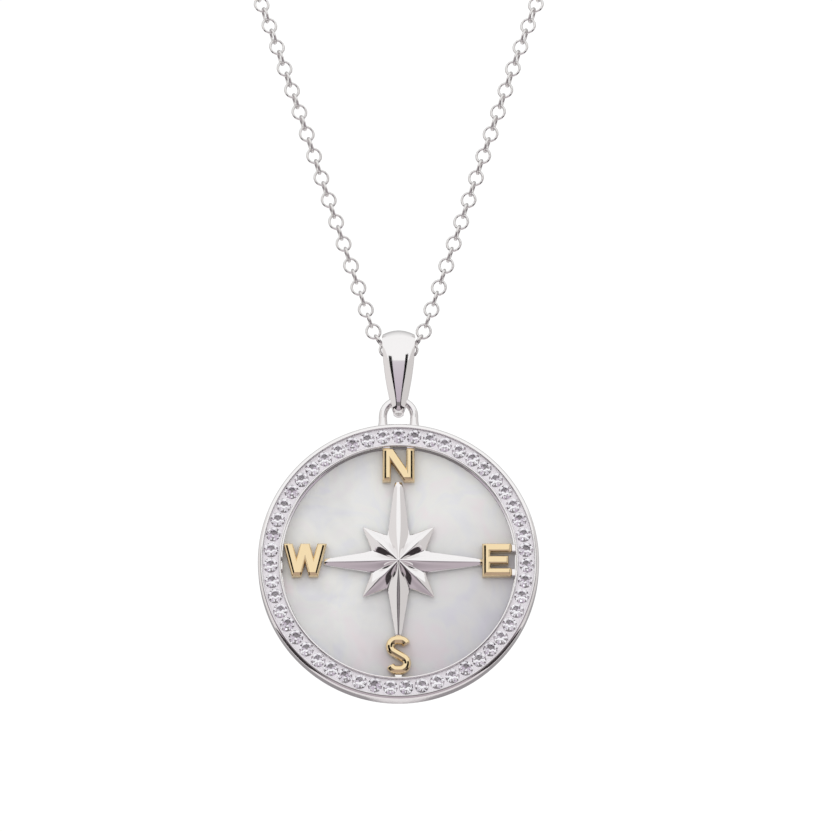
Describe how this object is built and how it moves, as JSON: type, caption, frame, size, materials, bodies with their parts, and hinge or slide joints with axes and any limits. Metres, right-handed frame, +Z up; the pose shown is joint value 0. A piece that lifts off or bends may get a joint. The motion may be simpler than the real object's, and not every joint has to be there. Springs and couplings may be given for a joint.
{
  "type": "compass pendant necklace",
  "caption": "Round silver pendant with a compass star over mother-of-pearl, a stone-set rim and gold letters, hung by a tapered bail on a fine link chain that is held up at the nape.",
  "frame": {"origin": "the point of the clasp's barrel that rests on the nape of the neck", "axes": "+Z up, the face of the pendant looks along -Y, +X to the right of the face"},
  "size_m": [0.1024, 0.1048, 0.2008],
  "materials": {
    "silver": "polished",
    "gold_plate": "polished",
    "nacre": "polished",
    "crystal": "cut and polished"
  },
  "bodies": {
    "necklace": {"chain": "silver", "clasp": "silver"},
    "bail": {"bail": "silver"},
    "pendant": {"frame": "silver", "mother_of_pearl": "nacre", "star": "silver", "letter_n": "gold_plate", "letter_e": "gold_plate", "letter_s": "gold_plate", "letter_w": "gold_plate", "crystals": "crystal"}
  },
  "joints": [
    {"name": "bail_swing", "type": "hinge", "parent": "necklace", "child": "bail", "pos_m": [0, -0.1, -0.166], "axis": [1, 0, 0], "range_deg": [-75, 75]},
    {"name": "pendant_swing", "type": "hinge", "parent": "bail", "child": "pendant", "pos_m": [0, -0.1, -0.17108], "axis": [1, 0, 0], "range_deg": [-60, 60]}
  ]
}
